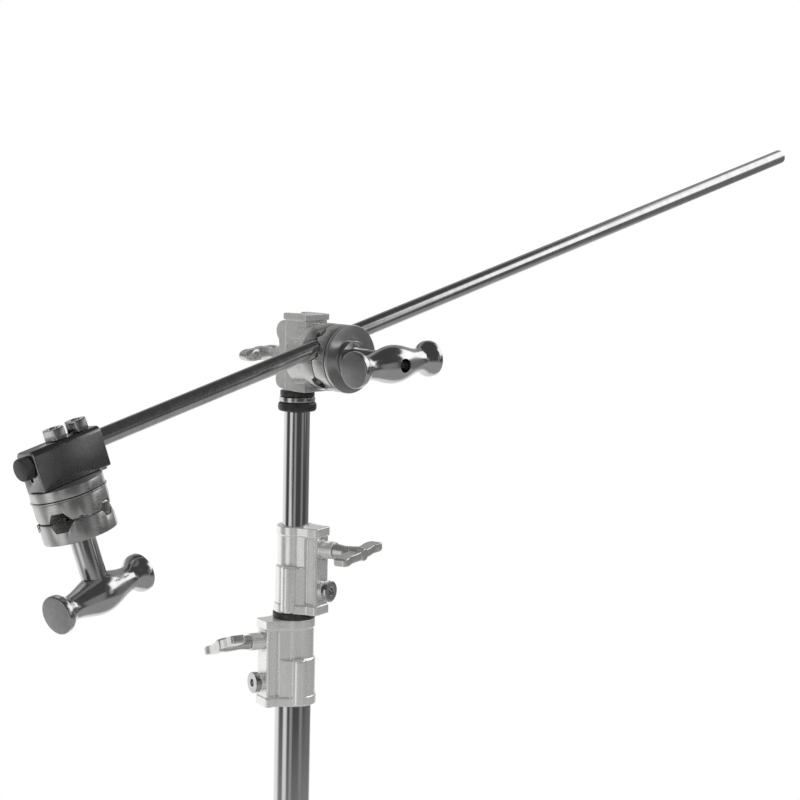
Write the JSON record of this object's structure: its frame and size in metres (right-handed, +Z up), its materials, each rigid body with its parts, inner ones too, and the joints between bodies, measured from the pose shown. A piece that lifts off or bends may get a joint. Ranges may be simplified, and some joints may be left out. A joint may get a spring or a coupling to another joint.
{
  "type": "c-stand with boom arm",
  "caption": "Film grip stand with folding bent legs and sliding risers, a swivelling grip head of clamping discs with a T-handle, and a boom arm that ends in a second head.",
  "frame": {"origin": "on the stand's axis, at the flat underside of the cap in the column's foot; the feet stand 64.7 mm lower", "axes": "+Z up along the column; the boom arm runs along X and rises towards +X; -Y points out of the head's clamping discs towards the T-handle, which is the side the picture is taken from"},
  "size_m": [1.1344, 0.718, 1.628],
  "materials": {
    "black_plastic": "matt black plastic",
    "black_rubber": "matt black rubber",
    "blackened_steel": "black coated steel",
    "brass": "plain brass",
    "bright_casting": "bright satin casting",
    "chromed_steel": "polished chrome plating",
    "satin_casting": "satin metal casting"
  },
  "bodies": {
    "base": {"base_cap": "satin_casting", "column_tube": "chromed_steel", "hub_stop_ring": "satin_casting", "leg_hub_low": "bright_casting", "leg_tube_low": "chromed_steel", "leg_pin_low": "chromed_steel", "leg_foot_low": "black_rubber", "collar_lower": "bright_casting", "collar_screw_lower": "chromed_steel"},
    "leg_mid": {"leg_hub_mid": "bright_casting", "leg_tube_mid": "chromed_steel", "leg_pin_mid": "chromed_steel", "leg_foot_mid": "black_rubber"},
    "leg_high": {"leg_hub_high": "bright_casting", "leg_tube_high": "chromed_steel", "leg_pin_high": "chromed_steel", "leg_foot_high": "black_rubber"},
    "lower_clamp": {"clamp_pad_lower": "brass"},
    "lower_knob": {"wing_knob_lower": "bright_casting", "wing_stud_lower": "chromed_steel"},
    "second_riser": {"riser_2_tube": "chromed_steel", "riser_2_guide": "black_plastic", "collar_upper": "bright_casting", "collar_screw_upper": "chromed_steel", "bumper_ring": "black_rubber"},
    "upper_clamp": {"clamp_pad_upper": "brass"},
    "upper_knob": {"wing_knob_upper": "bright_casting", "wing_stud_upper": "chromed_steel"},
    "first_riser": {"riser_1_tube": "chromed_steel", "riser_1_guide": "black_plastic", "riser_cap": "black_rubber", "baby_pin": "chromed_steel", "pin_washer": "black_rubber"},
    "head": {"grip_body": "satin_casting", "head_clamp_bolt": "chromed_steel"},
    "head_clamp": {"clamp_pad_head": "brass"},
    "head_knob": {"wing_knob_head": "bright_casting", "wing_stud_head": "chromed_steel"},
    "tilting_disc": {"head_disc_inner": "satin_casting"},
    "outer_discs": {"head_disc_outer": "satin_casting", "head_washer": "black_plastic", "head_plate": "satin_casting"},
    "head_handle": {"head_handle_bar": "chromed_steel", "head_handle_stem": "chromed_steel"},
    "arm": {"arm_rod": "chromed_steel", "arm_end_cap": "blackened_steel", "end_bracket": "blackened_steel", "end_saddle": "satin_casting", "end_set_screw_inner": "chromed_steel", "end_set_screw_outer": "chromed_steel", "end_clamp_bolt": "chromed_steel"},
    "end_discs": {"end_ring": "satin_casting", "end_disc_upper": "satin_casting", "end_disc_spring": "blackened_steel"},
    "end_lower_disc": {"end_disc_lower": "satin_casting"},
    "end_handle": {"end_handle_bar": "chromed_steel", "end_handle_stem": "chromed_steel"}
  },
  "joints": [
    {"name": "leg_mid_swing", "type": "hinge", "parent": "base", "child": "leg_mid", "pos_m": [0, 0, 0], "axis": [0, 0, 1], "range_deg": [-100, 0]},
    {"name": "leg_high_swing", "type": "hinge", "parent": "base", "child": "leg_high", "pos_m": [0, 0, 0], "axis": [0, 0, 1], "range_deg": [0, 100]},
    {"name": "lower_clamp_slide", "type": "slide", "parent": "base", "child": "lower_clamp", "axis": [-0.9668, 0.2554, 0], "range_m": [0, 0.00246]},
    {"name": "lower_knob_turn", "type": "hinge", "parent": "lower_clamp", "child": "lower_knob", "pos_m": [0, 0, 1.0808], "axis": [-0.9668, 0.2554, 0], "range_deg": [0, 720]},
    {"name": "second_riser_slide", "type": "slide", "parent": "base", "child": "second_riser", "axis": [0, 0, 1], "range_m": [0, 0.92]},
    {"name": "upper_clamp_slide", "type": "slide", "parent": "second_riser", "child": "upper_clamp", "axis": [0.2284, -0.9736, 0], "range_m": [0, 0.00246]},
    {"name": "upper_knob_turn", "type": "hinge", "parent": "upper_clamp", "child": "upper_knob", "pos_m": [0, 0, 1.171], "axis": [0.2284, -0.9736, 0], "range_deg": [0, 720]},
    {"name": "first_riser_slide", "type": "slide", "parent": "second_riser", "child": "first_riser", "axis": [0, 0, 1], "range_m": [-0.06, 0.84]},
    {"name": "head_swivel", "type": "hinge", "parent": "first_riser", "child": "head", "pos_m": [0, 0, 1.3568], "axis": [0, 0, 1], "continuous": true},
    {"name": "head_clamp_slide", "type": "slide", "parent": "head", "child": "head_clamp", "axis": [0, 1, 0], "range_m": [0, 0.00246]},
    {"name": "head_knob_turn", "type": "hinge", "parent": "head_clamp", "child": "head_knob", "pos_m": [0, 0, 1.3528], "axis": [0, 1, 0], "range_deg": [0, 720]},
    {"name": "arm_tilt", "type": "hinge", "parent": "head", "child": "tilting_disc", "pos_m": [0, 0, 1.3568], "axis": [0, -1, 0], "range_deg": [-59.27, 30.73]},
    {"name": "outer_disc_slide", "type": "slide", "parent": "tilting_disc", "child": "outer_discs", "axis": [0, -1, 0], "range_m": [0, 0.0044]},
    {"name": "head_handle_turn", "type": "hinge", "parent": "outer_discs", "child": "head_handle", "pos_m": [0, 0, 1.3568], "axis": [0, -1, 0], "range_deg": [0, 1080]},
    {"name": "arm_slide", "type": "slide", "parent": "tilting_disc", "child": "arm", "axis": [0.9691, 0, 0.2465], "range_m": [-0.7, 0.02]},
    {"name": "end_head_swivel", "type": "hinge", "parent": "arm", "child": "end_discs", "pos_m": [-0.31841, -0.052, 1.29222], "axis": [0.2436, -0.153, -0.9577], "continuous": true},
    {"name": "end_disc_slide", "type": "slide", "parent": "end_discs", "child": "end_lower_disc", "axis": [0.2436, -0.153, -0.9577], "range_m": [0, 0.0044]},
    {"name": "end_handle_turn", "type": "hinge", "parent": "end_lower_disc", "child": "end_handle", "pos_m": [-0.31841, -0.052, 1.29222], "axis": [0.2436, -0.153, -0.9577], "range_deg": [0, 1080]}
  ],
  "couplings": [
    {"joint": "lower_knob_turn", "follows": "lower_clamp_slide", "rad_per_m": 5026},
    {"joint": "upper_knob_turn", "follows": "upper_clamp_slide", "rad_per_m": 5026},
    {"joint": "head_knob_turn", "follows": "head_clamp_slide", "rad_per_m": 5026},
    {"joint": "head_handle_turn", "follows": "outer_disc_slide", "rad_per_m": 4188},
    {"joint": "end_handle_turn", "follows": "end_disc_slide", "rad_per_m": 4188}
  ]
}
